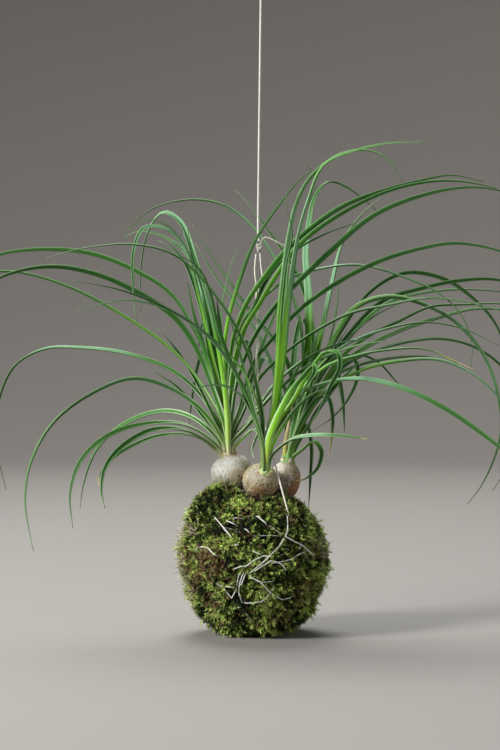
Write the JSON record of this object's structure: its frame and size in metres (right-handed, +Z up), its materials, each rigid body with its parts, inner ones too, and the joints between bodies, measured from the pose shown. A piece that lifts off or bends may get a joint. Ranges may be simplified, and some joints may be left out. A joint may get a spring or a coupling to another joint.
{
  "type": "kokedama moss ball plant",
  "caption": "Moss ball wound with white thread, holding grass-leaved bulb plants in its open top, with a doubled hanging string that ends in a small loop.",
  "frame": {"origin": "centre of the small flat spot under the moss ball, on the surface it rests on", "axes": "+Z up, +X to the viewer's right, along the widest spread of the leaves, +Y away from the viewer"},
  "size_m": [0.4918, 0.2839, 0.5093],
  "materials": {
    "soil": "moist dark crumbly potting soil with fine pale roots",
    "moss": "living sheet moss, short green shoots with brown and straw patches",
    "thread": "white twisted cotton thread, slightly soiled",
    "bulb_pale": "smooth pale bulb skin with a cracked brown papery scale below",
    "bulb_tan": "smooth cream bulb skin, lilac-grey sheen, speckled tan below",
    "bulb_brown": "smooth bulb skin, lilac grey to orange brown",
    "leaf_left": "fresh strap leaves, satin, channelled",
    "leaf_front": "bright yellow-green strap leaves, satin",
    "leaf_right": "dark green strap leaves, satin",
    "string": "white twisted cotton string"
  },
  "bodies": {
    "root": {"soil_core": "soil", "moss_cover": "moss", "binding_thread": "thread", "bulb_left": "bulb_pale", "bulb_front": "bulb_tan", "bulb_right": "bulb_brown", "leaves_left": "leaf_left", "leaves_front": "leaf_front", "leaves_right": "leaf_right", "strand_front": "string", "strand_back": "string", "lower_knot": "string", "upper_knot": "string", "hanging_line": "string", "hanging_loop": "string"}
  },
  "joints": []
}
